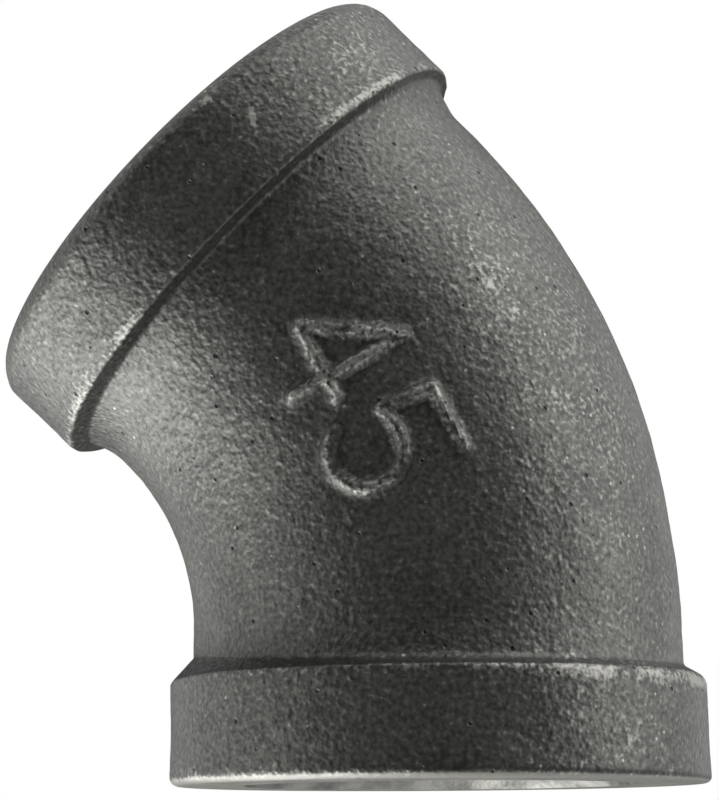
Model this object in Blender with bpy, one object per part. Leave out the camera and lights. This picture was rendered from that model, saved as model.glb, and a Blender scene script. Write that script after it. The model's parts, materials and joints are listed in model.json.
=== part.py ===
"""Forty-five degree elbow, a cast pipe fitting.

One casting: a round body bent through the elbow angle, a plain band round each end, and in each
end a tapered socket for a pipe thread, which opens into the cored passage. It stands on its lower
face with the upper arm leaning towards -X. Lengths are in metres and angles in degrees.
"""

import math
from typing import NamedTuple

import bmesh
import bpy
from mathutils import Vector

# The elbow's arms
ELBOW_ANGLE = 45.0
CENTRE_TO_FACE = 0.0249

# The threaded socket in each end, a three-quarter inch taper pipe thread
THREAD_MAJOR_DIAMETER = 0.02657
THREAD_HEIGHT = 0.00145
THREAD_TAPER = 1 / 16
THREAD_LENGTH = 0.0127
MOUTH_CLEARANCE = 0.0003
MOUTH_ANGLE = 45.0

# The cored passage and the body's wall round it
CORE_CLEARANCE = 0.0006
RUNOUT_LENGTH = 0.0018
WALL = 0.0031

# The band round each end, which is a little fuller on the upper arm, and its rounded edge at the face
LOWER_BAND_STEP = 0.00168
UPPER_BAND_STEP = 0.00208
LOWER_EDGE_RADIUS = 0.0011
UPPER_EDGE_RADIUS = 0.0015
BAND_WIDTH = 0.0072
BAND_DRAFT = 0.0001

# The shoulder that brings a band down to the body
SHOULDER_ANGLE = 68.0
CREST_RADIUS = 0.0008
FILLET_RADIUS = 0.0009
LAND_LENGTH = 0.0019

# How finely curves are divided
ROUND_SEGMENTS = 64
BEND_STEPS = 12
ARC_STEPS = 5

# Black malleable iron, as cast
IRON_COLOUR = (0.050, 0.050, 0.047, 1.0)
IRON_METALLIC = 0.6
IRON_ROUGHNESS = 0.5
SHARP_EDGE_ANGLE = 40.0


class Ring(NamedTuple):
    """A circle of the surface: its centre, the way to the outside of the bend, and its radius."""

    centre: Vector
    outward: Vector
    radius: float


def core_radius():
    """Radius of the cored passage, which clears the thread's roots."""
    return THREAD_MAJOR_DIAMETER / 2 + CORE_CLEARANCE


def body_radius():
    """Outer radius of the bent body."""
    return core_radius() + WALL


def bore_radius(depth):
    """Radius of the socket at the thread's crests, this deep from the face."""
    return THREAD_MAJOR_DIAMETER / 2 - THREAD_HEIGHT - depth * THREAD_TAPER / 2


def spread(first, last, steps):
    """Evenly spaced values from first to last."""
    return [first + (last - first) * i / steps for i in range(steps + 1)]


def band_outline(band_step, edge_radius):
    """Outside of one end as pairs of depth and radius, from its face to where the shoulder meets the body."""
    face_radius = body_radius() + band_step
    crest_radius = face_radius - BAND_DRAFT
    slope = math.radians(SHOULDER_ANGLE)
    step = crest_radius - body_radius()

    # Both roundings fit in the step, whatever its height
    rounded_step = (CREST_RADIUS + FILLET_RADIUS) * (1 - math.cos(slope))
    share = min(1.0, 0.95 * step / rounded_step)
    crest = CREST_RADIUS * share
    fillet = FILLET_RADIUS * share
    slant = (step - rounded_step * share) / math.sin(slope)

    outline = []
    for turn in spread(0, math.pi / 2, ARC_STEPS):
        depth = edge_radius * (1 - math.cos(turn))
        outline.append((depth, face_radius - edge_radius * (1 - math.sin(turn))))
    crest_start = BAND_WIDTH - crest * math.tan(slope / 2)
    for turn in spread(0, slope, ARC_STEPS):
        outline.append((crest_start + crest * math.sin(turn), crest_radius - crest * (1 - math.cos(turn))))
    slant_end = outline[-1][0] + slant * math.cos(slope)
    shoulder_end = slant_end + fillet * math.sin(slope)
    for turn in spread(slope, 0, ARC_STEPS):
        outline.append((shoulder_end - fillet * math.sin(turn), body_radius() + fillet * (1 - math.cos(turn))))
    return outline


def lower_outline():
    """Outside of the lower end."""
    return band_outline(LOWER_BAND_STEP, LOWER_EDGE_RADIUS)


def upper_outline():
    """Outside of the upper end."""
    return band_outline(UPPER_BAND_STEP, UPPER_EDGE_RADIUS)


def straight_length():
    """Length of each arm before the bend: the longer band and shoulder, and a short land."""
    return max(lower_outline()[-1][0], upper_outline()[-1][0]) + LAND_LENGTH


def bend_radius():
    """Radius of the centre line, whose arc joins the two straight lengths."""
    return (CENTRE_TO_FACE - straight_length()) / math.tan(math.radians(ELBOW_ANGLE) / 2)


def path_length():
    """Length of the centre line from face to face."""
    return 2 * straight_length() + bend_radius() * math.radians(ELBOW_ANGLE)


def on_path(distance, radius):
    """A ring square to the bent centre line, this far along it from the lower face."""
    straight = straight_length()
    bend = bend_radius()
    turn = min(max((distance - straight) / bend, 0.0), math.radians(ELBOW_ANGLE))
    below = min(distance, straight)
    above = max(distance - straight - bend * turn, 0.0)
    x = -bend * (1 - math.cos(turn)) - above * math.sin(turn)
    z = below + bend * math.sin(turn) + above * math.cos(turn)
    return Ring(Vector((x, 0, z)), Vector((math.cos(turn), 0, math.sin(turn))), radius)


def on_lower_axis(depth, radius):
    """A ring square to the lower arm's straight axis, this deep from its face."""
    return Ring(Vector((0, 0, depth)), Vector((1, 0, 0)), radius)


def on_upper_axis(depth, radius):
    """A ring square to the upper arm's straight axis, this deep from its face."""
    turn = math.radians(ELBOW_ANGLE)
    axis = Vector((-math.sin(turn), 0, math.cos(turn)))
    centre = Vector((0, 0, CENTRE_TO_FACE)) + axis * (CENTRE_TO_FACE - depth)
    return Ring(centre, Vector((math.cos(turn), 0, math.sin(turn))), radius)


def outer_rings():
    """The outside from the lower face to the upper one: band, shoulder, bent body, shoulder, band."""
    rings = [on_lower_axis(depth, radius) for depth, radius in lower_outline()]
    straight = straight_length()
    for distance in spread(straight, path_length() - straight, BEND_STEPS):
        rings.append(on_path(distance, body_radius()))
    rings += [on_upper_axis(depth, radius) for depth, radius in reversed(upper_outline())]
    return rings


def socket_outline():
    """Inside of one end as pairs of depth and radius: its countersunk mouth and its tapered bore."""
    mouth_radius = THREAD_MAJOR_DIAMETER / 2 + MOUTH_CLEARANCE
    closing = math.tan(math.radians(MOUTH_ANGLE)) - THREAD_TAPER / 2
    mouth_depth = (mouth_radius - bore_radius(0)) / closing
    return [
        (0.0, mouth_radius),
        (mouth_depth, bore_radius(mouth_depth)),
        (THREAD_LENGTH, bore_radius(THREAD_LENGTH)),
    ]


def inner_rings():
    """The inside from the upper face to the lower one: socket, cored passage, socket."""
    rings = [on_upper_axis(depth, radius) for depth, radius in socket_outline()]
    core_start = THREAD_LENGTH + RUNOUT_LENGTH
    for distance in spread(path_length() - core_start, core_start, BEND_STEPS):
        rings.append(on_path(distance, core_radius()))
    rings += [on_lower_axis(depth, radius) for depth, radius in reversed(socket_outline())]
    return rings


def loft_closed(mesh, rings):
    """Skins each ring to the next and the last to the first, which gives one closed shell."""
    loops = []
    for ring in rings:
        loop = []
        for i in range(ROUND_SEGMENTS):
            angle = 2 * math.pi * i / ROUND_SEGMENTS
            spoke = ring.outward * math.cos(angle) + Vector((0, math.sin(angle), 0))
            loop.append(mesh.verts.new(ring.centre + spoke * ring.radius))
        loops.append(loop)
    for here, there in zip(loops, loops[1:] + loops[:1]):
        for i in range(ROUND_SEGMENTS):
            j = (i + 1) % ROUND_SEGMENTS
            mesh.faces.new((here[i], here[j], there[j], there[i]))
    bmesh.ops.recalc_face_normals(mesh, faces=mesh.faces)


def stand_on_middle(mesh):
    """Puts the origin under the middle of the casting's box, level with the lower face."""
    reach = [vertex.co.x for vertex in mesh.verts]
    middle = (min(reach) + max(reach)) / 2
    bmesh.ops.translate(mesh, vec=Vector((-middle, 0, 0)), verts=mesh.verts)


def make_iron():
    """Black malleable iron: a dark oxide skin over grey metal."""
    iron = bpy.data.materials.new("black_malleable_iron")
    iron.use_nodes = True
    shader = iron.node_tree.nodes["Principled BSDF"]
    shader.inputs["Base Color"].default_value = IRON_COLOUR
    shader.inputs["Metallic"].default_value = IRON_METALLIC
    shader.inputs["Roughness"].default_value = IRON_ROUGHNESS
    return iron


def make_casting():
    """The elbow itself, one closed casting."""
    shell = bmesh.new()
    loft_closed(shell, outer_rings() + inner_rings())
    stand_on_middle(shell)
    mesh = bpy.data.meshes.new("elbow_casting")
    shell.to_mesh(mesh)
    shell.free()
    mesh.materials.append(make_iron())
    mesh.shade_smooth()
    mesh.set_sharp_from_angle(angle=math.radians(SHARP_EDGE_ANGLE))
    casting = bpy.data.objects.new("elbow_casting", mesh)
    bpy.context.scene.collection.objects.link(casting)
    return casting


def clear_scene():
    """Removes whatever the scene holds."""
    for thing in list(bpy.data.objects):
        bpy.data.objects.remove(thing, do_unlink=True)


clear_scene()
make_casting()
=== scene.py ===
"""Looks of a forty-five degree elbow, a sand-cast pipe fitting with a threaded socket in each end.

The fitting is one casting, so it is one closed mesh: the as-cast outside with its two bands and a
raised number, the turned faces, the cut threads, and the cored passage between them. Sizes are in
millimetres and angles in degrees; the mesh is written in metres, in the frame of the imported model.
"""

import json
import logging
import math
from dataclasses import dataclass, field, fields
from enum import Enum, IntEnum
from functools import partial
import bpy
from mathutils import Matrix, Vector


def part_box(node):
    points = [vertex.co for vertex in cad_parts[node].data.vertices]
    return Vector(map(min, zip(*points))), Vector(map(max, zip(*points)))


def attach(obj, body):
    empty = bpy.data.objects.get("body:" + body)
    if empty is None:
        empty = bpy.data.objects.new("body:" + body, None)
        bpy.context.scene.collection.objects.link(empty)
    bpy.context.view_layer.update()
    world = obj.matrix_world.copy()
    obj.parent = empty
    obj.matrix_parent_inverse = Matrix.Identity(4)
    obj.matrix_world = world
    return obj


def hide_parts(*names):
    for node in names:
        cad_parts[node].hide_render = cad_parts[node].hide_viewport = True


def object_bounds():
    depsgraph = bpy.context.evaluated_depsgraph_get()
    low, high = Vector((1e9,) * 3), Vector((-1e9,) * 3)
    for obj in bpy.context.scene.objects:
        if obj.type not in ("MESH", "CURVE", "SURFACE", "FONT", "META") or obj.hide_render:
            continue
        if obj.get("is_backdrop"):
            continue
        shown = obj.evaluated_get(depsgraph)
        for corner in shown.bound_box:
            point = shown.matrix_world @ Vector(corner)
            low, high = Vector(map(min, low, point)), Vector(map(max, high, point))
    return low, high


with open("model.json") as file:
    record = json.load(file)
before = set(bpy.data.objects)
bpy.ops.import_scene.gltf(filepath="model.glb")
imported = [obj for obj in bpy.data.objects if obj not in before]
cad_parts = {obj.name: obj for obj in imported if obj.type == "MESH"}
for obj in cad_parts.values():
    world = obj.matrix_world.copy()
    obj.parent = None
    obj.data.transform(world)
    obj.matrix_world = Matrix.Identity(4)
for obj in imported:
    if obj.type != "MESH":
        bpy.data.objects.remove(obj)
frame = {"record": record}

from types import SimpleNamespace
from typing import Any

import bmesh
import bpy
import numpy as np
from mathutils import Matrix, Vector, noise

log = logging.getLogger("elbow")
model_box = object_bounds()

MM = 0.001
FULL_TURN = 2 * math.pi

# The imported solid that the casting stands for
CASTING_NODE = "elbow_casting"


class Surface(IntEnum):
    """How a stretch of the casting was made, which is also its material's place on the mesh."""

    CAST = 0
    TURNED = 1
    TAPPED = 2
    CORED = 3


class Arm(Enum):
    """The two ends of the elbow."""

    LOWER = "lower"
    UPPER = "upper"


class Seed(Enum):
    """Where each use of the noise starts, so that no two have the same pattern."""

    WAVES = 3.1
    BROAD_PATCHES = 4.4
    LUMPS = 7.7
    GRAINS = 12.9
    FINE_PATCHES = 21.0
    SEAM = 31.0
    STROKE_EDGES = 40.0
    STROKE_HEIGHT = 50.0
    CORE = 60.0


# The way through the noise along which the seeds lie
SEED_WAY = (1.0, 1.7, 2.3)


def linear(code: str) -> tuple[float, float, float, float]:
    """Turns an sRGB hex colour into the linear values that a shader takes.

    Args:
        code: the colour as six hex digits after a hash.

    Returns:
        Linear red, green and blue, with a full alpha.
    """
    values = [int(code[i:i + 2], 16) / 255 for i in (1, 3, 5)]
    red, green, blue = [v / 12.92 if v <= 0.04045 else ((v + 0.055) / 1.055) ** 2.4 for v in values]
    return (red, green, blue, 1.0)


def per_metre(size: float) -> float:
    """The scale of a texture whose cells are this many millimetres wide."""
    return 1 / (size * MM)


def spread(first: float, last: float, steps: int) -> list[float]:
    """Evenly spaced values from first to last."""
    return [first + (last - first) * i / steps for i in range(steps + 1)]


def smooth_step(value: np.ndarray, low: float, high: float) -> np.ndarray:
    """Eases from 0 at low to 1 at high, which may be the lesser of the two."""
    share = np.clip((value - low) / (high - low), 0, 1)
    return share * share * (3 - 2 * share)


def bell(value: np.ndarray) -> np.ndarray:
    """1 at zero, and fading to nothing on both sides of it."""
    return np.exp(-value * value)


def lumps(points: np.ndarray, size: float, seed: Seed) -> np.ndarray:
    """Smooth noise of about -1 to 1 at each point, with its lumps this many millimetres apart."""
    flat = points.reshape(-1, 3) / size + seed.value * np.array(SEED_WAY)
    return np.array([noise.noise(Vector(place)) for place in flat]).reshape(points.shape[:-1])


# Sizes

@dataclass(frozen=True)
class Round:
    """A value that changes evenly round the casting.

    It has one value on the outside of the bend, one halfway round, on the front and the back, and
    one on the inside of the bend.
    """

    outside: float
    halfway: float
    inside: float

    def at(self, angles: np.ndarray) -> np.ndarray:
        """The values at these places round the casting.

        Args:
            angles: angles from the outside of the bend, in radians.

        Returns:
            One value for each angle.
        """
        side = np.cos(angles)
        share = side * side
        return np.where(side > 0, self.outside, self.inside) * share + self.halfway * (1 - share)


@dataclass(frozen=True)
class ThreadSize:
    """A three-quarter inch taper pipe thread, 14 turns to the inch."""

    face_diameter: float = 26.57
    height: float = 1.45
    pitch: float = 25.4 / 14
    taper: float = 1 / 16
    length: float = 12.7
    flat_share: float = 0.06

    def crest_radius(self, depth: np.ndarray) -> np.ndarray:
        """Radius at the crests, this deep from the face."""
        return self.face_diameter / 2 - self.height - depth * self.taper / 2

    def groove(self, turns: np.ndarray) -> np.ndarray:
        """How far the groove is cut, from 0 on a crest to 1 in a root.

        Args:
            turns: place across the thread in turns, with a crest at each whole number.

        Returns:
            The share of the thread's height.
        """
        from_crest = np.abs(turns - np.round(turns))
        flat = self.flat_share / 2
        return np.clip((from_crest - flat) / (0.5 - 2 * flat), 0, 1)

    def corners(self) -> list[float]:
        """Where a turn's section has its corners and the middles of its flanks.

        Returns:
            Places in turns from a crest, in order.
        """
        flat = self.flat_share / 2
        flank = spread(flat, 0.5 - flat, 2)
        return [-flat] + flank + [1 - place for place in reversed(flank[1:])]


@dataclass(frozen=True)
class SocketSize:
    """One threaded socket: its countersunk mouth, its thread and the run-out into the passage."""

    thread: ThreadSize = ThreadSize()
    mouth_clearance: float = 0.3
    mouth_angle: float = 45.0
    core_clearance: float = 0.6
    runout: float = 1.8

    def mouth_radius(self) -> float:
        """Radius of the countersink at the face."""
        return self.thread.face_diameter / 2 + self.mouth_clearance

    def countersink_radius(self, depth: np.ndarray) -> np.ndarray:
        """Radius of the countersink's cone, this deep from the face."""
        return self.mouth_radius() - depth * math.tan(math.radians(self.mouth_angle))

    def core_radius(self) -> float:
        """Radius of the cored passage, which clears the thread's roots."""
        return self.thread.face_diameter / 2 + self.core_clearance

    def core_start(self) -> float:
        """How deep the cored passage begins."""
        return self.thread.length + self.runout

    def radius(self, depth: np.ndarray, turns: np.ndarray) -> np.ndarray:
        """Radius of the cut wall: the thread's, or the countersink's where that has cut further."""
        cut = self.thread.crest_radius(depth) + self.thread.height * self.thread.groove(turns)
        return np.maximum(cut, self.countersink_radius(depth))


@dataclass(frozen=True)
class BandSize:
    """The plain band round one end, and the shoulder that brings it down to the body.

    The pattern was uneven, so the widths and roundings change round the casting. So do how far the
    body stands out beside the band, how steeply it flares into the shoulder, the bright wear on the
    crest, which is partly painted highlight, and on the edge, the painted shade on the shoulder,
    beside it and on the edge, and how far up the edge's rounding the lathe tool has cut, in degrees
    from the face. The rows across a band leave room for its edge's rounding.
    """

    step: float
    width: Round
    body_swell: Round
    edge_radius: Round
    crest_radius: Round
    fillet_radius: Round
    shoulder_angle: Round
    flare_angle: Round
    shoulder_shade: Round
    land_shade: Round
    crest_wear_and_highlight: Round
    edge_wear: Round
    edge_shade: Round
    cut_angle: Round
    draft: float = 0.1
    edge_room: float = 1.5

    def at(self, angles: np.ndarray) -> SimpleNamespace:
        """The sizes and marks that change round the band, by name, at these angles."""
        changing = [part.name for part in fields(self) if part.type is Round]
        return SimpleNamespace(**{name: getattr(self, name).at(angles) for name in changing})


LOWER_BAND = BandSize(
    step=1.68,
    width=Round(7.05, 7.05, 7.05),
    body_swell=Round(-0.08, 0.0, 0.0),
    edge_radius=Round(0.45, 0.75, 0.65),
    crest_radius=Round(1.0, 0.35, 0.3),
    fillet_radius=Round(0.5, 0.9, 0.4),
    shoulder_angle=Round(60.0, 70.0, 42.0),
    flare_angle=Round(2.0, 12.0, 0.0),
    shoulder_shade=Round(0.35, 0.6, 0.95),
    land_shade=Round(0.0, 0.1, 0.5),
    crest_wear_and_highlight=Round(0.75, 0.35, 0.0),
    edge_wear=Round(0.0, 0.36, 0.52),
    edge_shade=Round(0.9, 0.3, 0.0),
    cut_angle=Round(52.0, 58.0, 64.0),
)

UPPER_BAND = BandSize(
    step=2.08,
    width=Round(7.6, 7.7, 7.38),
    body_swell=Round(0.17, 0.0, 0.0),
    edge_radius=Round(1.7, 1.4, 1.6),
    crest_radius=Round(0.25, 0.25, 0.35),
    fillet_radius=Round(0.5, 0.5, 0.4),
    shoulder_angle=Round(84.0, 84.0, 66.0),
    flare_angle=Round(33.0, 14.0, 25.0),
    shoulder_shade=Round(0.95, 0.55, 0.0),
    land_shade=Round(0.35, 0.3, 0.0),
    crest_wear_and_highlight=Round(0.55, 0.0, 0.5),
    edge_wear=Round(0.1, 0.0, 0.0),
    edge_shade=Round(0.3, 0.9, 0.9),
    cut_angle=Round(25.0, 4.0, 25.0),
)


@dataclass(frozen=True)
class ElbowSize:
    """The whole casting."""

    angle: float = 45.0
    centre_to_face: float = 24.9
    straight: float = 10.5
    wall: float = 3.1
    socket: SocketSize = SocketSize()
    lower: BandSize = LOWER_BAND
    upper: BandSize = UPPER_BAND

    def body_radius(self) -> float:
        """Outer radius of the bent body."""
        return self.socket.core_radius() + self.wall

    def bend_radius(self) -> float:
        """Radius of the centre line between the two straight lengths."""
        return (self.centre_to_face - self.straight) / math.tan(math.radians(self.angle) / 2)

    def bend_length(self) -> float:
        """Length of the centre line between the two straight lengths."""
        return self.bend_radius() * math.radians(self.angle)

    def path_length(self) -> float:
        """Length of the centre line from face to face."""
        return 2 * self.straight + self.bend_length()


@dataclass(frozen=True)
class Fineness:
    """How finely the mesh is divided.

    The front has its columns closer together than the back, and the inside has half as many.
    """

    columns: int = 320
    front_crowding: float = 0.4
    arc_steps: int = 6
    edge_steps: int = 14
    row_spacing: float = 0.24
    land_rows: int = 8
    face_rows: int = 4
    core_rows: int = 20
    runout_rows: int = 4

    def angles(self) -> np.ndarray:
        """Angles of the outside's columns from the outside of the bend."""
        even = np.arange(self.columns) / self.columns * FULL_TURN
        return even - self.front_crowding * np.cos(even)

    def inner_angles(self) -> np.ndarray:
        """Angles of the inside's columns."""
        return self.angles()[::2]


# What the outside's points carry: wear with painted highlight, painted shade in creases, and the tool's cut;
# and the radius that the tool marks on a face follow
MARKS = ("worn", "sheltered", "cut")
TOOL_RADIUS = "tool_radius"

# How the flare beside a shoulder dies away into the body, and the length that the shoulder itself takes
FLARE_POWER = 1.5
SHOULDER_LENGTH = 1.0

# The most of a shoulder's height that its two roundings may take
MOST_ROUNDED = 0.95


@dataclass(frozen=True)
class MarkReach:
    """How wear, painted highlight and painted shade fade from where they are strongest.

    On the edge's rounding the turns are in radians: how wide the bruise past the tool's cut is, and how
    soft the cut's border. On the band the widths are in millimetres, and the shares are what is left
    of the edge's wear and of the crest's wear and painted highlight there. The fillet has its share of
    the shoulder's painted shade.
    of the edge's and the crest's wear there. The fillet has its share of the shoulder's soot.
    """

    bruise_turn: float = 0.3
    cut_turn: float = 0.12
    edge_width: float = 0.35
    edge_share: float = 0.6
    crest_width: float = 0.42
    crest_share: float = 0.85
    fillet_share: float = 0.7


@dataclass
class Outline:
    """The outside of one end, row by row from its face inwards, with a value for each column."""

    columns: int
    rows: dict[str, list[np.ndarray]] = field(default_factory=dict)

    def add(self, **values: Any) -> None:
        """Adds a row, whose values are each one number or one for every column."""
        for name in ("depth", "radius", *MARKS):
            self.rows.setdefault(name, []).append(values.get(name, 0.0) * np.ones(self.columns))

    def grid(self, name: str) -> np.ndarray:
        """One of the outline's values at every row and column."""
        return np.array(self.rows[name])


def end_outline(size: ElbowSize, band: BandSize, mesh: Fineness) -> Outline:
    """Draws one end: the edge's rounding, the band, its crest, the shoulder, the fillet and the flare.

    Args:
        size: the whole casting.
        band: this end's band.
        mesh: how finely curves are divided.

    Returns:
        The outline, which stops one row short of the bend.
    """
    here = band.at(mesh.angles())
    reach = MarkReach()
    width, edge = here.width, here.edge_radius
    body_radius = size.body_radius() + here.body_swell
    face_radius = size.body_radius() + band.step
    slope, flare = np.radians(here.shoulder_angle), np.radians(here.flare_angle)
    cut_turn = np.radians(here.cut_angle)
    flare_height = np.tan(flare) * (size.straight - width - SHOULDER_LENGTH) / FLARE_POWER
    step = band.step - band.draft - here.body_swell - flare_height

    # Both roundings fit in the step, whatever its height
    crest, fillet = here.crest_radius, here.fillet_radius
    rounded_step = crest * (1 - np.cos(slope)) + fillet * (np.cos(flare) - np.cos(slope))
    share = np.minimum(1, MOST_ROUNDED * step / rounded_step)
    crest, fillet = crest * share, fillet * share
    slant = (step - rounded_step * share) / np.sin(slope)
    outline = Outline(mesh.columns)

    for turn in spread(0, math.pi / 2, mesh.edge_steps):
        # The tool's cut stops part of the way up, and past it the edge is bright with wear, then darkened
        # with painted shade
        past = (turn - cut_turn) / reach.bruise_turn
        outline.add(
            depth=edge * (1 - math.cos(turn)),
            radius=face_radius - edge * (1 - math.sin(turn)),
            worn=here.edge_wear * bell(past),
            sheltered=here.edge_shade * bell(past - 1),
            cut=smooth_step(cut_turn - turn, -reach.cut_turn, reach.cut_turn),
        )
    crest_start = width - crest * np.tan(slope / 2)
    flat = crest_start - edge
    band_rows = round((band.width.halfway - band.edge_room) / mesh.row_spacing)
    # The band is bright near its edge with wear, and near its crest with wear and painted highlight
    for along in spread(0, 1, band_rows)[1:-1]:
        near_edge = here.edge_wear * reach.edge_share * bell(flat * along / reach.edge_width)
        near_crest = here.crest_wear_and_highlight * reach.crest_share * bell(flat * (1 - along) / reach.crest_width)
        outline.add(
            depth=edge + flat * along,
            radius=face_radius - band.draft * along,
            worn=near_edge + near_crest,
        )
    # The crest's rounding is bright with wear and painted highlight, and the shoulder below it is darkened
    # with painted shade
    for share_turned in spread(0, 1, mesh.arc_steps):
        turn = slope * share_turned
        outline.add(
            depth=crest_start + crest * np.sin(turn),
            radius=face_radius - band.draft - crest * (1 - np.cos(turn)),
            worn=here.crest_wear_and_highlight * (1 - share_turned) ** 0.5,
            sheltered=here.shoulder_shade * share_turned**2,
        )
    slant_end = crest_start + crest * np.sin(slope) + slant * np.cos(slope)
    shoulder_end = slant_end + fillet * (np.sin(slope) - np.sin(flare))
    # The fillet and the land beside the shoulder are darkened: painted shade
    fillet_shade = reach.fillet_share * here.shoulder_shade - here.land_shade
    for share_turned in spread(1, 0, mesh.arc_steps):
        turn = flare + (slope - flare) * share_turned
        outline.add(
            depth=shoulder_end - fillet * (np.sin(turn) - np.sin(flare)),
            radius=body_radius + flare_height + fillet * (np.cos(flare) - np.cos(turn)),
            sheltered=here.land_shade + fillet_shade * share_turned,
        )
    for along in spread(0, 1, mesh.land_rows)[1:-1]:
        outline.add(
            depth=shoulder_end + (size.straight - shoulder_end) * along,
            radius=body_radius + flare_height * (1 - along) ** FLARE_POWER,
            sheltered=here.land_shade * (1 - along) ** 2,
        )
    return outline


# The casting's mesh

# One value for all places or an array of them, and the corners of one row of the mesh
Values = float | np.ndarray
VertexRow = list[bmesh.types.BMVert]


@dataclass(frozen=True)
class RaisedNumber:
    """The raised number on the front of the body, drawn in blunt cast strokes.

    Its place is across from the lower arm's axis and up from the lower face.
    """

    across: float = -5.1
    up: float = 24.2
    reading_angle: float = -62.3
    digit_height: float = 7.9
    digit_width: float = 5.3
    gap: float = 1.7
    stroke: float = 0.85
    relief: float = 0.5
    flank: float = 0.38
    edge_lump_size: float = 1.5
    edge_lump_height: float = 0.13
    height_lump_size: float = 2.2
    mean_height: float = 0.9
    height_spread: float = 0.3
    wear: float = 0.5
    most_patchy: float = 1.2
    feet_shade: float = 0.7
    tops_start: float = 0.4
    tops_full: float = 0.85
    feet_full: float = 0.1
    feet_fading: float = 0.2
    feet_end: float = 0.5

    def share(self, places: np.ndarray, axis_across: float) -> np.ndarray:
        """The share of the number's full relief at each place.

        Args:
            places: the outside's points.
            axis_across: where the lower arm's axis stands.

        Returns:
            0 beside the strokes and 1 along their middles, on the front side only.
        """
        turn = math.radians(self.reading_angle)
        across = places[..., 0] - axis_across - self.across
        up = places[..., 2] - self.up
        along = across * math.cos(turn) + up * math.sin(turn)
        above = -across * math.sin(turn) + up * math.cos(turn) + self.digit_height / 2
        four = self.four(along + self.gap / 2 + self.digit_width, above)
        away = np.minimum(four, self.five(along - self.gap / 2, above))
        wander = self.edge_lump_height * lumps(places, self.edge_lump_size, Seed.STROKE_EDGES)
        half = self.stroke / 2
        raised = smooth_step(away + wander, half + self.flank, half - self.flank)
        uneven = self.height_spread * lumps(places, self.height_lump_size, Seed.STROKE_HEIGHT)
        return raised * (places[..., 1] < 0) * (self.mean_height + uneven)

    def tops(self, share: np.ndarray) -> np.ndarray:
        """How much each place is the top of a stroke, by its share of the relief."""
        return smooth_step(share, self.tops_start, self.tops_full)

    def feet(self, share: np.ndarray) -> np.ndarray:
        """How much each place is the foot of a stroke, by its share of the relief."""
        return smooth_step(share, 0.0, self.feet_full) * smooth_step(share, self.feet_end, self.feet_fading)

    def four(self, x: np.ndarray, y: np.ndarray) -> np.ndarray:
        """Distance from the strokes of a plain 4.

        Args:
            x: places across from the digit's lower left corner.
            y: places up from it.

        Returns:
            Distances in millimetres.
        """
        width, height = self.digit_width, self.digit_height
        bar, stem = 0.3 * height, 0.72 * width
        return np.minimum.reduce([
            to_line(x, y, (stem, 0), (stem, height)),
            to_line(x, y, (stem, height), (0, bar)),
            to_line(x, y, (0, bar), (width, bar)),
        ])

    def five(self, x: np.ndarray, y: np.ndarray) -> np.ndarray:
        """Distance from the strokes of a plain 5.

        Args:
            x: places across from the digit's lower left corner.
            y: places up from it.

        Returns:
            Distances in millimetres.
        """
        width, height = self.digit_width, self.digit_height
        bowl, neck = 0.3 * height, 0.57 * height
        left, top_left, middle, right = 0.05 * width, 0.12 * width, 0.42 * width, 0.92 * width
        return np.minimum.reduce([
            to_line(x, y, (right, height), (top_left, height)),
            to_line(x, y, (top_left, height), (left, neck)),
            to_line(x, y, (left, neck), (middle, bowl * 2)),
            to_arc(x, y, (middle, bowl), bowl, -150.0, 90.0),
        ])


def to_line(x: np.ndarray, y: np.ndarray, start: tuple[float, float], end: tuple[float, float]) -> np.ndarray:
    """Distance from each place to a straight stroke.

    Args:
        x: places across.
        y: places up.
        start: one end of the stroke.
        end: the other end.

    Returns:
        Distances in millimetres.
    """
    run = np.array(end, float) - np.array(start, float)
    share = ((x - start[0]) * run[0] + (y - start[1]) * run[1]) / (run @ run)
    share = np.clip(share, 0, 1)
    return np.hypot(x - start[0] - share * run[0], y - start[1] - share * run[1])


def to_arc(
    x: np.ndarray, y: np.ndarray, centre: tuple[float, float], radius: float, first: float, last: float
) -> np.ndarray:
    """Distance from each place to a round stroke.

    Args:
        x: places across.
        y: places up.
        centre: the arc's centre.
        radius: the arc's radius.
        first: the angle at which it starts, in degrees.
        last: the angle at which it ends, in degrees.

    Returns:
        Distances in millimetres.
    """
    middle = math.radians((first + last) / 2)
    half = math.radians((last - first) / 2)
    angle = np.arctan2(y - centre[1], x - centre[0]) - middle
    angle = np.clip(np.arctan2(np.sin(angle), np.cos(angle)), -half, half) + middle
    return np.hypot(x - centre[0] - radius * np.cos(angle), y - centre[1] - radius * np.sin(angle))


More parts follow.
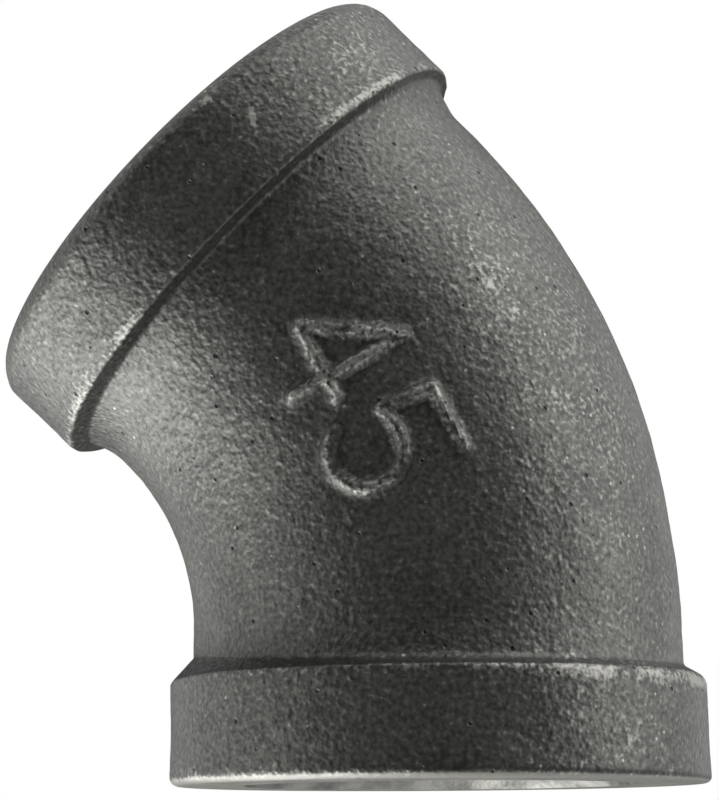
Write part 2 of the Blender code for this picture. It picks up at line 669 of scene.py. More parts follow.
@dataclass(frozen=True)
class SandSkin:
    """How uneven sand, a baked core and a pattern's two halves leave the casting.

    Each height goes with the distance between its lumps. The lathe leaves the start of the edge's
    rounding clean, and from the share clean_edge of it on, the surface is as uneven as elsewhere.
    """

    wave_size: float = 8.0
    wave_height: float = 0.09
    lump_size: float = 2.2
    lump_height: float = 0.035
    grain_size: float = 0.8
    grain_height: float = 0.022
    core_lump_size: float = 3.0
    core_lump_height: float = 0.16
    seam_height: float = 0.13
    seam_width: float = 0.55
    seam_lump_size: float = 4.0
    seam_mean: float = 0.6
    seam_spread: float = 0.6
    clean_rows: float = 0.5
    clean_edge: float = 0.7

    def rise(self, places: np.ndarray) -> np.ndarray:
        """How far the outside stands out, without the number.

        Args:
            places: the outside's points.

        Returns:
            A height for each point, in millimetres.
        """
        rise = self.wave_height * lumps(places, self.wave_size, Seed.WAVES)
        rise += self.lump_height * lumps(places, self.lump_size, Seed.LUMPS)
        rise += self.grain_height * lumps(places, self.grain_size, Seed.GRAINS)
        return rise + self.seam(places)

    def seam(self, places: np.ndarray) -> np.ndarray:
        """The thin ridge where the mould's two halves met, in the plane of both axes.

        Args:
            places: the outside's points.

        Returns:
            The ridge's height at each point, in millimetres.
        """
        ridge = bell(places[..., 1] / self.seam_width)
        uneven = self.seam_mean + self.seam_spread * lumps(places, self.seam_lump_size, Seed.SEAM)
        return self.seam_height * ridge * uneven

    def core_rise(self, places: np.ndarray) -> np.ndarray:
        """How far the passage's wall swells at each place."""
        return self.core_lump_height * lumps(places, self.core_lump_size, Seed.CORE)


@dataclass
class Rows:
    """Rows of points round the casting, each row a full turn, with what each point's skin is like."""

    points: np.ndarray
    surface: Surface
    marks: dict[str, np.ndarray] = field(default_factory=dict)
    twist: int = 0


def outward(points: np.ndarray) -> np.ndarray:
    """The way out from the middle of each row, as unit vectors."""
    away = points - points.mean(axis=1, keepdims=True)
    return away / np.linalg.norm(away, axis=-1, keepdims=True)


@dataclass(frozen=True)
class Scuff:
    """A bright patch of the front, by its middle, its size and its tilt: wear from other fittings, and on
    some patches painted highlight.

    Its place is across from the lower arm's axis and up from the lower face. It is bright by its strength
    in the middle and by little at its ends, as the fading says.
    """

    across: float
    up: float
    length: float
    width: float
    tilt: float
    strength: float
    fading: float = 4.0

    def wear(self, places: np.ndarray, axis_across: float) -> np.ndarray:
        """How bright each place is made, by wear and on some patches by painted highlight.

        Args:
            places: the outside's points.
            axis_across: where the lower arm's axis stands.

        Returns:
            The strength in the patch's middle, fading to nothing round it, on the front side only.
        """
        turn = math.radians(self.tilt)
        across = places[..., 0] - axis_across - self.across
        up = places[..., 2] - self.up
        along = (across * math.cos(turn) + up * math.sin(turn)) / self.length
        aside = (up * math.cos(turn) - across * math.sin(turn)) / self.width
        return self.strength * np.exp(-self.fading * (along * along + aside * aside)) * (places[..., 1] < 0)


# Across, up, length, width, tilt and strength: first the patches of grains bared by wear, which also
# strew painted glints, and then two stretches of the upper band's crest, which are painted highlight
RUBS_AND_HIGHLIGHTS = (
    Scuff(2.0, 34.0, 7.0, 3.0, -60.0, 0.1),
    Scuff(5.2, 28.5, 8.0, 3.0, -65.0, 0.14),
    Scuff(6.5, 31.0, 24.0, 11.0, -68.0, 0.15),
    Scuff(11.0, 15.0, 20.0, 10.0, -85.0, 0.13),
    Scuff(-5.5, 49.0, 13.0, 7.0, 45.0, 0.2),
    Scuff(10.5, 4.0, 9.0, 8.0, 0.0, 0.12),
    Scuff(-14.3, 45.0, 3.0, 2.0, 45.0, 0.16),
    Scuff(-6.4, 43.5, 9.0, 0.75, 45.0, 0.42),
    Scuff(-21.6, 28.2, 6.5, 0.7, 45.0, 0.3),
)

# Two scratches and some nicks, which are bright all over
SCRATCHES = (
    Scuff(-12.35, 42.25, 1.9, 0.4, -79.0, 1.4),
    Scuff(11.3, 2.1, 1.9, 0.35, 50.0, 0.35),
    Scuff(-15.3, 43.45, 0.8, 0.6, 0.0, 0.9),
    Scuff(3.1, 32.16, 0.6, 0.45, -80.0, 1.0),
    Scuff(1.7, 33.5, 0.6, 0.35, -40.0, 0.7),
    Scuff(4.8, 30.4, 0.5, 0.35, -40.0, 0.7),
)


@dataclass(frozen=True)
class Patchiness:
    """How patchy handling leaves the wear: fine and broad patches, and the least and most they leave."""

    fine_size: float = 2.6
    fine_share: float = 0.9
    broad_size: float = 6.0
    broad_share: float = 0.5
    least: float = 0.25
    most: float = 1.5

    def at(self, places: np.ndarray) -> np.ndarray:
        """What the wear is multiplied by at each place, before its limits."""
        fine = self.fine_share * lumps(places, self.fine_size, Seed.FINE_PATCHES)
        return 1 + fine + self.broad_share * lumps(places, self.broad_size, Seed.BROAD_PATCHES)


@dataclass
class CastElbow:
    """The casting: one closed mesh with its as-cast, turned, tapped and cored surfaces."""

    size: ElbowSize = ElbowSize()
    skin: SandSkin = SandSkin()
    number: RaisedNumber = RaisedNumber()
    rubs_and_highlights: tuple[Scuff, ...] = RUBS_AND_HIGHLIGHTS
    scratches: tuple[Scuff, ...] = SCRATCHES
    patchiness: Patchiness = Patchiness()
    fineness: Fineness = Fineness()
    axis_across: float = 0.0
    sharp_angle: float = 32.0
    weld_distance: float = 0.0008
    least_cut: float = 0.01
    name: str = "cast_elbow"

    def on_arm(self, arm: Arm, angles: np.ndarray, depth: np.ndarray, radius: np.ndarray) -> np.ndarray:
        """Points on one end's straight axis.

        Args:
            arm: which end.
            angles: angle of each column.
            depth: depth from that end's face, for each row and column.
            radius: radius from the axis, for each row and column.

        Returns:
            Places in millimetres.
        """
        if arm is Arm.LOWER:
            return self.spoke(angles, 0 * depth, depth, 0.0, radius)
        turn = math.radians(self.size.angle)
        along = self.size.centre_to_face - depth
        up = self.size.centre_to_face + along * math.cos(turn)
        return self.spoke(angles, -along * math.sin(turn), up, turn, radius)

    def on_path(self, angles: np.ndarray, distance: np.ndarray, radius: np.ndarray) -> np.ndarray:
        """Points square to the bent centre line.

        Args:
            angles: angle of each column.
            distance: how far along from the lower face, for each row.
            radius: radius from the centre line, for each row and column.

        Returns:
            Places in millimetres.
        """
        straight = self.size.straight
        bend = self.size.bend_radius()
        turn = np.clip((distance - straight) / bend, 0, math.radians(self.size.angle))
        below = np.minimum(distance, straight)
        above = np.maximum(distance - straight - bend * turn, 0)
        across = -bend * (1 - np.cos(turn)) - above * np.sin(turn)
        up = below + bend * np.sin(turn) + above * np.cos(turn)
        return self.spoke(angles, across, up, turn, radius)

    def spoke(
        self, angles: np.ndarray, across: Values, up: Values, turn: Values, radius: np.ndarray
    ) -> np.ndarray:
        """Points round a centre on the plane of the two axes.

        Args:
            angles: angle of each column.
            across: the centre's way across from the lower axis.
            up: the centre's height.
            turn: how far the axis has turned there, in radians.
            radius: radius for each row and column.

        Returns:
            Places in millimetres.
        """
        out = radius * np.cos(angles)
        x = self.axis_across + across + out * np.cos(turn)
        y = radius * np.sin(angles)
        z = up + out * np.sin(turn)
        return np.stack(np.broadcast_arrays(x, y, z), axis=-1)

    def outside(self) -> Rows:
        """The as-cast outside, from the lower face to the upper one.

        Returns:
            Rows that carry every mark and the radius that the tool's rings follow.
        """
        size, mesh = self.size, self.fineness
        angles = mesh.angles()
        lower = end_outline(size, size.lower, mesh)
        upper = end_outline(size, size.upper, mesh)
        steps = round(size.bend_length() / mesh.row_spacing)
        distance = np.array(spread(size.straight, size.straight + size.bend_length(), steps))[:, None]
        share = smooth_step(distance, size.straight, size.path_length() - size.straight)
        swell = size.lower.body_swell.at(angles) * (1 - share) + size.upper.body_swell.at(angles) * share
        body = self.on_path(angles, distance, size.body_radius() + swell)
        points = np.concatenate([
            self.on_arm(Arm.LOWER, angles, lower.grid("depth"), lower.grid("radius")),
            body,
            self.on_arm(Arm.UPPER, angles, upper.grid("depth"), upper.grid("radius"))[::-1],
        ])
        bare = np.zeros(body.shape[:2])
        marks = {mark: np.concatenate([lower.grid(mark), bare, upper.grid(mark)[::-1]]) for mark in MARKS}
        self.roughen(points, marks)
        marks[TOOL_RADIUS] = np.concatenate([lower.grid("radius"), bare, upper.grid("radius")[::-1]])
        return Rows(points, Surface.CAST, marks)

    def roughen(self, points: np.ndarray, marks: dict[str, np.ndarray]) -> None:
        """Gives the outside its waves, lumps, seam and raised number.

        Args:
            points: the outside's points, which are moved in place.
            marks: what its points carry, which is changed in place.
        """
        number = self.number.share(points, self.axis_across)
        rise = self.skin.rise(points) + self.number.relief * number
        # The row at the face stays as the lathe cut it
        rows = len(points)
        from_face = np.array([min(i, rows - 1 - i) for i in range(rows)])
        uneven_from = self.fineness.edge_steps * self.skin.clean_edge
        rise *= smooth_step(from_face, self.skin.clean_rows, uneven_from)[:, None]
        patches = self.patchiness.at(points)
        patchy = np.clip(patches, self.patchiness.least, self.patchiness.most)
        marks["worn"] *= patchy
        for scuff in self.rubs_and_highlights:
            marks["worn"] += scuff.wear(points, self.axis_across) * patchy
        for scratch in self.scratches:
            marks["worn"] += scratch.wear(points, self.axis_across)
        # The number's tops are bright with wear, and its feet are darkened: painted shade
        rubbed_and_highlight = self.number.wear * self.number.tops(number) * np.clip(patches, 0, self.number.most_patchy)
        marks["worn"] = np.maximum(marks["worn"], rubbed_and_highlight)
        marks["sheltered"] = np.maximum(marks["sheltered"], self.number.feet_shade * self.number.feet(number))
        points += outward(points) * rise[..., None]

    def face(self, arm: Arm) -> Rows:
        """The turned face of one end, from just inside its outer edge to the countersink.

        Args:
            arm: which end.

        Returns:
            Rows from the outer edge inwards.
        """
        band = self.size.lower if arm is Arm.LOWER else self.size.upper
        angles = self.fineness.inner_angles()
        outer = self.size.body_radius() + band.step - band.edge_radius.at(angles)
        inner = self.size.socket.mouth_radius()
        shares = np.array(spread(0, 1, self.fineness.face_rows)[1:])[:, None]
        radius = outer * (1 - shares) + inner * shares
        return Rows(self.on_arm(arm, angles, 0 * radius, radius), Surface.TURNED, {TOOL_RADIUS: radius})

    def thread(self, arm: Arm) -> Rows:
        """The countersink and the right-hand thread of one end, from its face inwards.

        The rows follow the thread, so that its crests and roots are crisp. They are cut off square at
        the face and at the thread's last turn, where several rows run together.

        Args:
            arm: which end.

        Returns:
            Rows that climb by one turn each time round.
        """
        thread = self.size.socket.thread
        angles = self.fineness.inner_angles()
        climb = (1 if arm is Arm.LOWER else -1) * angles / FULL_TURN
        whole_turns = math.ceil(thread.length / thread.pitch) + 2
        places = np.array([turn + corner for turn in range(-1, whole_turns) for corner in thread.corners()])
        depth = np.clip((places[:, None] + climb) * thread.pitch, 0, thread.length)
        turns = depth / thread.pitch - climb
        socket = self.size.socket
        radius = socket.radius(depth, turns)
        in_thread = radius > socket.countersink_radius(depth) + self.least_cut
        # The thread's roots are darkened: painted shade
        marks = {
            "sheltered": thread.groove(turns) * in_thread,
            TOOL_RADIUS: np.full(radius.shape, socket.mouth_radius()),
        }
        twist = (1 if arm is Arm.LOWER else -1) * len(thread.corners())
        return Rows(self.on_arm(arm, angles, depth, radius), Surface.TAPPED, marks, twist)

    def runout(self, arm: Arm) -> Rows:
        """Where the thread runs out into the cored passage.

        Args:
            arm: which end.

        Returns:
            Rows from the end of the thread to the start of the passage.
        """
        socket = self.size.socket
        angles = self.fineness.inner_angles()
        climb = (1 if arm is Arm.LOWER else -1) * angles / FULL_TURN
        depth = np.full(len(angles), socket.thread.length)
        cut = self.on_arm(arm, angles, depth, socket.radius(depth, depth / socket.thread.pitch - climb))
        inner = self.core_points()[0 if arm is Arm.LOWER else -1]
        shares = np.array(spread(0, 1, self.fineness.runout_rows))[:, None, None]
        return Rows(cut * (1 - shares) + inner * shares, Surface.CORED)

    def core_points(self) -> np.ndarray:
        """The cored passage, from the lower socket to the upper one.

        Returns:
            Its points in millimetres, row by row.
        """
        angles = self.fineness.inner_angles()
        start = self.size.socket.core_start()
        distance = np.array(spread(start, self.size.path_length() - start, self.fineness.core_rows))[:, None]
        radius = np.full((len(distance), len(angles)), self.size.socket.core_radius())
        points = self.on_path(angles, distance, radius)
        return points + outward(points) * self.skin.core_rise(points)[..., None]

    def build(self) -> bpy.types.Object:
        """Makes the casting's object.

        Returns:
            The object, at the origin, with each surface's faces marked.
        """
        shell = bmesh.new()
        layers = {mark: shell.verts.layers.float.new(mark) for mark in (*MARKS, TOOL_RADIUS)}
        outside = self.outside()
        outer = self.add_rows(shell, outside, layers)
        for arm, edge in ((Arm.UPPER, outer[-1]), (Arm.LOWER, outer[0])):
            face = self.add_rows(shell, self.face(arm), layers)
            self.halve_columns(shell, edge, face[0])
            self.add_rows(shell, self.thread(arm), layers)
            self.add_rows(shell, self.runout(arm), layers)
        self.add_rows(shell, Rows(self.core_points(), Surface.CORED), layers)
        bmesh.ops.remove_doubles(shell, verts=shell.verts, dist=self.weld_distance * MM)
        bmesh.ops.recalc_face_normals(shell, faces=shell.faces)
        open_edges = sum(1 for edge in shell.edges if len(edge.link_faces) != 2)
        triangles = sum(len(face.verts) - 2 for face in shell.faces)
        log.info("%s: %d triangles, %d open edges", self.name, triangles, open_edges)
        mesh = bpy.data.meshes.new(self.name)
        shell.to_mesh(mesh)
        shell.free()
        mesh.shade_smooth()
        mesh.set_sharp_from_angle(angle=math.radians(self.sharp_angle))
        casting = bpy.data.objects.new(self.name, mesh)
        bpy.context.scene.collection.objects.link(casting)
        return casting

    def add_rows(self, shell: bmesh.types.BMesh, rows: Rows, layers: dict[str, Any]) -> list[VertexRow]:
        """Skins a stretch's rows, with the last column joined to the first.

        Args:
            shell: the mesh to add to.
            rows: the stretch.
            layers: the layers for what each point carries.

        Returns:
            The new corners, row by row.
        """
        count, columns = rows.points.shape[:2]
        grid = []
        for row in range(count):
            line = []
            for column in range(columns):
                vertex = shell.verts.new(rows.points[row, column] * MM)
                for mark, values in rows.marks.items():
                    vertex[layers[mark]] = values[row, column]
                line.append(vertex)
            grid.append(line)
        last = count - 1
        for row in range(last):
            for column in range(columns):
                here, there = grid[row][column], grid[row + 1][column]
                if column + 1 < columns:
                    near, far = grid[row][column + 1], grid[row + 1][column + 1]
                else:
                    near = grid[min(max(row + rows.twist, 0), last)][0]
                    far = grid[min(max(row + 1 + rows.twist, 0), last)][0]
                corners = [here, near, there] if near is far else [here, near, far, there]
                shell.faces.new(corners).material_index = rows.surface
        return grid

    def halve_columns(self, shell: bmesh.types.BMesh, outer: VertexRow, inner: VertexRow) -> None:
        """Joins a row to one with half as many columns, with three triangles for each inner column.

        Args:
            shell: the mesh to add to.
            outer: the outer row's corners.
            inner: the inner row's corners, half as many.
        """
        for i, corner in enumerate(inner):
            following = inner[(i + 1) % len(inner)]
            near, middle, far = outer[2 * i], outer[2 * i + 1], outer[(2 * i + 2) % len(outer)]
            for corners in ((near, middle, corner), (middle, following, corner), (middle, far, following)):
                shell.faces.new(corners).material_index = Surface.TURNED


# Finishes

# What a finish is built from
Tree = bpy.types.NodeTree
Socket = bpy.types.NodeSocket


def add_node(
    tree: Tree,
    kind: str,
    inputs: dict[Any, Any] | None = None,
    output: int | str = 0,
    **settings: Any,
) -> Socket:
    """Adds one node with its settings and links.

    Args:
        tree: the material's or world's nodes.
        kind: Blender's name of the node, without the word ShaderNode.
        inputs: by socket name or number, either another node's output to link or a plain value.
        output: the wanted output's name or number.
        settings: the node's own properties.

    Returns:
        The wanted output.
    """
    node = tree.nodes.new("ShaderNode" + kind)
    for name, value in settings.items():
        setattr(node, name, value)
    for name, value in (inputs or {}).items():
        if isinstance(value, Socket):
            tree.links.new(value, node.inputs[name])
        else:
            node.inputs[name].default_value = value
    return node.outputs[output]


def new_material(name: str) -> tuple[bpy.types.Material, Tree, bpy.types.Node]:
    """Starts a material with a plain Principled shader.

    Args:
        name: the material's name.

    Returns:
        The material, its nodes and its shader.
    """
    material = bpy.data.materials.new(name)
    material.use_nodes = True
    tree = material.node_tree
    return material, tree, tree.nodes["Principled BSDF"]


@dataclass(frozen=True)
class Tones:
    """A dark and a light colour, and the stretch of a pattern's values over which one turns to the other."""

    dark: str
    light: str
    low: float
    high: float

    def over(self, tree: Tree, pattern: Socket) -> Socket:
        """Colours a pattern.

        Args:
            tree: the material's nodes.
            pattern: the pattern's socket.

        Returns:
            The colour's socket.
        """
        node = partial(add_node, tree)
        share = node("MapRange", {"Value": pattern, "From Min": self.low, "From Max": self.high})
        return node("Mix", {0: share, 6: linear(self.dark), 7: linear(self.light)}, 2, data_type="RGBA")


@dataclass(frozen=True)
class BlackMalleableSkin:
    """Malleable cast iron under its annealing scale, as it left a green-sand mould.

    The scale is a dark, faintly warm grey oxide with a dull sheen. Sand leaves it grainy all over,
    with pin holes; the pin holes and the creases are darkened with painted shade. Handling rubs its
    high edges and stray grains down to bright metal, and the crests and strewn grains also carry
    painted highlights and glints. The lathe tool cuts the lower part of each edge's rounding clean.
    """

    scale: Tones = Tones("#444442", "#6d6d68", low=0.43, high=0.87)
    rubbed_and_highlight: str = "#a8a7a1"
    cut: str = "#8a8984"
    shade_colour: str = "#1e1e1d"
    metallic: float = 0.6
    bared_metallic: float = 0.8
    roughness: float = 0.44
    bared_roughness: float = 0.52
    grain: float = 0.5
    grain_height: float = 0.1
    fine_grain: float = 0.33
    fine_height: float = 0.02
    cut_relief: float = 0.25
    blotch: float = 5.0
    blotch_share: float = 0.3
    pit_spacing: float = 1.35
    pit_width: float = 0.3
    pit_share: float = 0.4
    pit_depth: float = 0.1
    glint_spacing: float = 0.6
    glint_width: float = 0.24
    glint_share: float = 0.02
    glint_gain: float = 0.7
    spot_core: float = 0.5
    spot_border: float = 1.3
    rub_by_grain: float = 0.6
    rub_by_fine: float = 1.4
    rub_start: float = 1.24
    rub_end: float = 1.74
    most_rubbed: float = 0.85

    def spots(
        self, tree: Tree, place: Socket, spacing: float, width: float, share: float | Socket
    ) -> Socket:
        """Round spots strewn at random, with soft borders.

        Args:
            tree: the material's nodes.
            place: where on the casting, in metres.
            spacing: how far apart the places for a spot lie, in millimetres.
            width: how wide a spot is.
            share: the share of the places that hold a spot, a number or a socket.

        Returns:
            A socket that is 1 in a spot and 0 elsewhere.
        """
        node = partial(add_node, tree)
        away = node("TexVoronoi", {"Vector": place, "Scale": per_metre(spacing), "Randomness": 1.0})
        reach = width / 2 / spacing
        inside = node("MapRange", {
            "Value": away, "From Min": reach * self.spot_core, "From Max": reach * self.spot_border,
            "To Min": 1.0, "To Max": 0.0,
        }, interpolation_type="SMOOTHSTEP")
        chance = node("SeparateColor", {"Color": away.node.outputs["Color"]}, "Red")
        chosen = node("Math", {0: chance, 1: share}, operation="LESS_THAN")
        return node("Math", {0: inside, 1: chosen}, operation="MULTIPLY")

    def make(self) -> bpy.types.Material:
        """Makes the material.

        Returns:
            The material, for the outside as it left the mould.
        """
        material, tree, shader = new_material("black_malleable_skin")
        node = partial(add_node, tree)
        place = node("TexCoord", output="Object")
        worn, sheltered, cut = [node("Attribute", output="Fac", attribute_name=mark) for mark in MARKS]
        patterns = ((self.grain, 1.0, 0.5), (self.fine_grain, 1.0, 0.5), (self.blotch, 3.0, 0.55))
        grain, fine, blotch = [
            node("TexNoise", {
                "Vector": place, "Scale": per_metre(size), "Detail": detail, "Roughness": roughness,
            })
            for size, detail, roughness in patterns
        ]
        pits = self.spots(tree, place, self.pit_spacing, self.pit_width, self.pit_share)
        # Bright grains strewn more thickly where the wear mark is strong: painted glints
        strewn = node("Math", {0: worn, 1: self.glint_gain, 2: self.glint_share}, operation="MULTIPLY_ADD")
        glints = self.spots(tree, place, self.glint_spacing, self.glint_width, strewn)

        # The scale's tone changes from grain to grain, and a little in broad patches
        tone = node("Math", {0: blotch, 1: self.blotch_share, 2: fine}, operation="MULTIPLY_ADD")
        colour = self.scale.over(tree, tone)

        # Wear and painted highlight start on the highest grains, and take in more of them where the mark is
        # heavy
        high = worn
        for part, weight in ((grain, self.rub_by_grain), (fine, self.rub_by_fine)):
            high = node("Math", {0: part, 1: weight, 2: high}, operation="MULTIPLY_ADD")
        rub_and_highlight = node("MapRange", {
            "Value": high, "From Min": self.rub_start, "From Max": self.rub_end, "To Max": self.most_rubbed,
        })
        rub_and_highlight = node("Math", {0: rub_and_highlight, 1: glints}, operation="MAXIMUM")
        # Over the scale's tone: painted shade in creases and pits, cut metal, and bright wear with painted
        # highlights and glints
        for layer, over in ((sheltered, self.shade_colour), (cut, self.cut), (rub_and_highlight, self.rubbed_and_highlight), (pits, self.shade_colour)):
            colour = node("Mix", {0: layer, 6: colour, 7: linear(over)}, 2, data_type="RGBA")
        tree.links.new(colour, shader.inputs["Base Color"])

        bared = node("Math", {0: rub_and_highlight, 1: cut}, operation="MAXIMUM")
        metal = node("MapRange", {"Value": bared, "To Min": self.metallic, "To Max": self.bared_metallic})
        tree.links.new(metal, shader.inputs["Metallic"])
        gloss = node("MapRange", {"Value": bared, "To Min": self.roughness, "To Max": self.bared_roughness})
        tree.links.new(gloss, shader.inputs["Roughness"])

        height = grain
        for part, rise in ((fine, self.fine_height), (pits, -self.pit_depth)):
            share = rise / self.grain_height
            height = node("Math", {0: part, 1: share, 2: height}, operation="MULTIPLY_ADD")
        smoothed = node("MapRange", {"Value": cut, "To Min": 1.0, "To Max": self.cut_relief})
        bump = node("Bump", {"Height": height, "Distance": self.grain_height * MM, "Strength": smoothed})
        tree.links.new(bump, shader.inputs["Normal"])
        return material


@dataclass(frozen=True)
class CutIron:
    """Malleable iron cut by a tool and left with a film of oil.

    The cut metal is a plain grey, torn a little by the tool, and darkened in a thread's roots with
    painted shade. A faced end has the tool's fine rings, drawn twice as coarse as they are so that
    they show.
    """

    name: str
    metal: Tones
    in_root: str = "#1a1a19"
    metallic: float = 0.85
    least_rough: float = 0.38
    most_rough: float = 0.58
    tear: float = 0.3
    tear_height: float = 0.03
    tear_low: float = 0.3
    tear_high: float = 0.7
    blotch: float = 2.5
    feed: float = 0.3
    ring_height: float = 0.008

    def make(self) -> bpy.types.Material:
        """Makes the material.

        Returns:
            The material, for a turned face or a tapped thread.
        """
        material, tree, shader = new_material(self.name)
        node = partial(add_node, tree)
        place = node("TexCoord", output="Object")
        blotch = node("TexNoise", {
            "Vector": place, "Scale": per_metre(self.blotch), "Detail": 4.0, "Roughness": 0.6,
        })
        # A thread's roots are darkened: painted shade
        root = node("Attribute", output="Fac", attribute_name="sheltered")
        colour = self.metal.over(tree, blotch)
        colour = node("Mix", {0: root, 6: colour, 7: linear(self.in_root)}, 2, data_type="RGBA")
        tree.links.new(colour, shader.inputs["Base Color"])
        shader.inputs["Metallic"].default_value = self.metallic

        tear = node("TexNoise", {"Vector": place, "Scale": per_metre(self.tear), "Detail": 2.0})
        gloss = node("MapRange", {
            "Value": tear, "From Min": self.tear_low, "From Max": self.tear_high,
            "To Min": self.least_rough, "To Max": self.most_rough,
        })
        tree.links.new(gloss, shader.inputs["Roughness"])

        radius = node("Attribute", output="Fac", attribute_name=TOOL_RADIUS)
        turn = node("Math", {0: radius, 1: FULL_TURN / self.feed}, operation="MULTIPLY")
        rings = node("Math", {0: turn}, operation="SINE")
        ring_share = self.ring_height / self.tear_height
        height = node("Math", {0: rings, 1: ring_share, 2: tear}, operation="MULTIPLY_ADD")
        bump = node("Bump", {"Height": height, "Distance": self.tear_height * MM, "Strength": 1.0})
        tree.links.new(bump, shader.inputs["Normal"])
        return material


# The face is turned clean, and the thread has darker tones than the face: painted shade inside the sockets
TURNED_FACE = CutIron("turned_malleable_iron", Tones("#7d7d78", "#979690", low=0.36, high=0.6))
SHADED_TAPPED_THREAD = CutIron("tapped_malleable_iron_shaded", Tones("#62625e", "#8e8d88", low=0.36, high=0.6))


@dataclass(frozen=True)
class CoredIron:
    """The inside of the casting, against a baked sand core: coarser, darker and matt."""

    metal: Tones = Tones("#262625", "#454340", low=0.36, high=0.64)
    metallic: float = 0.3
    roughness: float = 0.7
    grain: float = 0.6
    grain_height: float = 0.2

    def make(self) -> bpy.types.Material:
        """Makes the material.

        Returns:
            The material, for the passage.
        """
        material, tree, shader = new_material("cored_malleable_iron")
        node = partial(add_node, tree)
        place = node("TexCoord", output="Object")
        grain = node("TexNoise", {
            "Vector": place, "Scale": per_metre(self.grain), "Detail": 3.0, "Roughness": 0.6,
        })
        tree.links.new(self.metal.over(tree, grain), shader.inputs["Base Color"])
        shader.inputs["Metallic"].default_value = self.metallic
        shader.inputs["Roughness"].default_value = self.roughness
        bump = node("Bump", {"Height": grain, "Distance": self.grain_height * MM, "Strength": 1.0})
        tree.links.new(bump, shader.inputs["Normal"])
        return material


# The studio

# A flat sheet's corners in order, as shares of its half width and half height
CORNERS = ((-1, -1), (1, -1), (1, 1), (-1, 1))


@dataclass(frozen=True)
class Lamp:
    """A soft box: the way to it from the casting, how far it is, its width and height, and its level."""

    name: str
    azimuth: float
    elevation: float
    distance: float
    width: float
    height: float
    level: float

    def hang(self, aim: Vector) -> None:
        """Hangs the lamp so that it faces the casting.

        Args:
            aim: the middle of the casting, in metres.
        """
        data = bpy.data.lights.new(self.name, "AREA")
        data.shape = "RECTANGLE"
        data.size = self.width * MM
        data.size_y = self.height * MM
        # A level of 1 is as bright as white paper in full light
        data.energy = self.level * math.pi * data.size * data.size_y
        lamp = bpy.data.objects.new(self.name, data)
        turn, lift = math.radians(self.azimuth), math.radians(self.elevation)
        way = Vector((math.sin(turn) * math.cos(lift), -math.cos(turn) * math.cos(lift), math.sin(lift)))
        lamp.location = aim + way * self.distance * MM
        lamp.rotation_euler = way.to_track_quat("Z", "Y").to_euler()
        bpy.context.scene.collection.objects.link(lamp)


@dataclass(frozen=True)
class Card:
    """A dark card: how far behind the casting it stands, or in front where negative, and its size."""

    name: str
    back: float
    width: float
    height: float


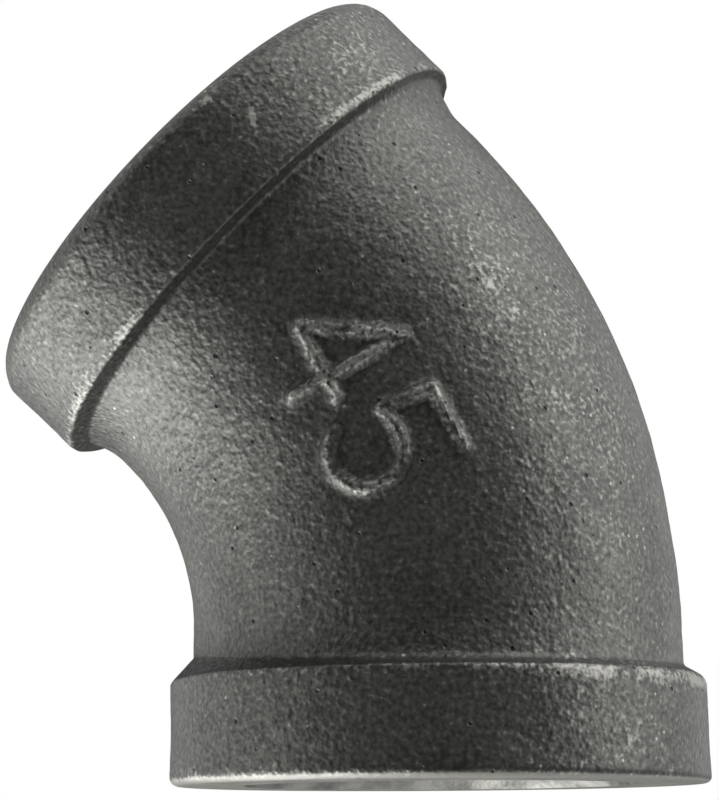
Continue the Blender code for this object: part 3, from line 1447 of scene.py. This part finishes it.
@dataclass(frozen=True)
class Studio:
    """A pale floor, a white background, a soft box on each side, dark cards, and the camera.

    The camera's place is measured from the middle of the lower face.
    """

    axis_across: float
    camera_place: tuple[float, float, float] = (-6.72, -160.62, -3.76)
    camera_turn: float = -0.476
    camera_tilt: float = 10.915
    camera_roll: float = -0.361
    focal_length: float = 102.96
    sensor_width: float = 36.0
    nearest_seen: float = 10.0
    floor_width: float = 4000.0
    floor_drop: float = 0.05
    floor_colour: str = "#e6e6e3"
    floor_glow: float = 0.5
    fill_level: float = 0.1
    card_colour: str = "#101010"
    cards: tuple[Card, ...] = (
        Card("front_card", -250.0, 860.0, 560.0),
        Card("back_card", 250.0, 300.0, 460.0),
    )
    lamps: tuple[Lamp, ...] = (
        Lamp("left_soft_box", -98.0, -48.0, 420.0, 480.0, 420.0, 4.3),
        Lamp("right_soft_box", 65.5, 32.0, 420.0, 640.0, 680.0, 1.55),
    )

    def set_up(self, aim: Vector) -> None:
        """Makes everything round the casting.

        Args:
            aim: the middle of the casting, in metres.
        """
        self.lay_floor()
        for card in self.cards:
            self.stand_card(card, aim)
        self.light_world()
        for lamp in self.lamps:
            lamp.hang(aim)
        self.place_camera()
        bpy.context.scene.view_settings.view_transform = "Standard"

    def add_sheet(
        self, name: str, corners: list[tuple[float, float, float]], colour: str
    ) -> tuple[bpy.types.Object, Tree, bpy.types.Node]:
        """Adds a flat sheet of the studio.

        Args:
            name: its name.
            corners: its corners in order, in metres.
            colour: its colour.

        Returns:
            The sheet, its material's nodes and its shader.
        """
        mesh = bpy.data.meshes.new(name)
        mesh.from_pydata(corners, [], [tuple(range(len(corners)))])
        sheet = bpy.data.objects.new(name, mesh)
        bpy.context.scene.collection.objects.link(sheet)
        material, tree, shader = new_material(name)
        shader.inputs["Base Color"].default_value = linear(colour)
        shader.inputs["Roughness"].default_value = 1.0
        mesh.materials.append(material)
        sheet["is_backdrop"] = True
        return sheet, tree, shader

    def lay_floor(self) -> None:
        """A pale floor that takes the casting's shadow and is clear when seen from beneath."""
        half, drop = self.floor_width / 2 * MM, -self.floor_drop * MM
        corners = [(half * x, half * y, drop) for x, y in CORNERS]
        floor, tree, shader = self.add_sheet("pale_floor", corners, self.floor_colour)
        node = partial(add_node, tree)
        # To the eye the floor is paler than its light makes it. It shows the shadow and lights nothing.
        floor.active_material.cycles.emission_sampling = "NONE"
        seen = node("LightPath", output="Is Camera Ray")
        glow = node("Math", {0: seen, 1: self.floor_glow}, operation="MULTIPLY")
        tree.links.new(glow, shader.inputs["Emission Strength"])
        shader.inputs["Emission Color"].default_value = linear(self.floor_colour)
        beneath = node("NewGeometry", output="Backfacing")
        clear = node("BsdfTransparent")
        mixed = node("MixShader", {0: beneath, 1: shader.outputs[0], 2: clear})
        tree.links.new(mixed, tree.nodes["Material Output"].inputs["Surface"])
        floor.visible_diffuse = False
        floor.visible_glossy = False
        floor.visible_shadow = False

    def stand_card(self, card: Card, aim: Vector) -> None:
        """Stands up a dark card, which the casting reflects and the camera doesn't see.

        Args:
            card: its place and size.
            aim: the middle of the casting, in metres.
        """
        half, tall, back = card.width / 2 * MM, card.height / 2 * MM, card.back * MM
        corners = [(half * x, back, aim.z + tall * z) for x, z in CORNERS]
        sheet = self.add_sheet(card.name, corners, self.card_colour)[0]
        sheet.visible_camera = False
        sheet.visible_shadow = False

    def light_world(self) -> None:
        """White to the eye and in reflections, and a plain soft fill on everything."""
        world = bpy.data.worlds.new("studio")
        world.use_nodes = True
        bpy.context.scene.world = world
        tree = world.node_tree
        node = partial(add_node, tree)
        seen = node("LightPath", output="Is Camera Ray")
        rays = seen.node.outputs
        for ray in (rays["Is Glossy Ray"], rays["Is Transmission Ray"]):
            seen = node("Math", {0: seen, 1: ray}, operation="MAXIMUM")
        level = node("MapRange", {"Value": seen, "To Min": self.fill_level, "To Max": 1.0})
        tree.links.new(level, tree.nodes["Background"].inputs["Strength"])
        tree.nodes["Background"].inputs["Color"].default_value = (1.0, 1.0, 1.0, 1.0)

    def place_camera(self) -> None:
        """The camera, just under the lower face's level and looking up."""
        data = bpy.data.cameras.new("camera")
        data.lens = self.focal_length
        data.sensor_width = self.sensor_width
        data.clip_start = self.nearest_seen * MM
        camera = bpy.data.objects.new("camera", data)
        bpy.context.scene.collection.objects.link(camera)
        # Without a tilt of its own the camera would look straight down
        level = 90
        turned = Matrix.Rotation(math.radians(self.camera_turn), 4, "Z")
        tilted = Matrix.Rotation(math.radians(level + self.camera_tilt), 4, "X")
        rolled = Matrix.Rotation(math.radians(self.camera_roll), 4, "Z")
        place = Matrix.Translation((Vector(self.camera_place) + Vector((self.axis_across, 0, 0))) * MM)
        camera.matrix_world = place @ turned @ tilted @ rolled
        bpy.context.scene.camera = camera


def make_elbow(axis_across: float) -> bpy.types.Object:
    """Builds and dresses the casting.

    Args:
        axis_across: where the lower arm's axis stands, in millimetres.

    Returns:
        The casting's object.
    """
    casting = CastElbow(axis_across=axis_across).build()
    for finish in (BlackMalleableSkin(), TURNED_FACE, SHADED_TAPPED_THREAD, CoredIron()):
        casting.data.materials.append(finish.make())
    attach(casting, "root")
    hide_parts(CASTING_NODE)
    return casting


def main() -> None:
    """Builds the casting and the studio round it."""
    logging.basicConfig(level=logging.INFO, format="%(name)s: %(message)s")
    mounts = {mount["name"]: mount for mount in frame["record"]["mounts"]}
    axis_across = mounts["lower_face"]["pos_m"][0] / MM
    casting = make_elbow(axis_across)
    log.info("made %s", casting.name)
    low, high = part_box(CASTING_NODE)
    Studio(axis_across).set_up((Vector(low) + Vector(high)) / 2)
    log.info("made the studio")
    boxes = {"model": model_box, "visual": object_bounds()}
    boxes = {name: [list(corner) for corner in box] for name, box in boxes.items()}


if __name__ == "__main__":
    main()
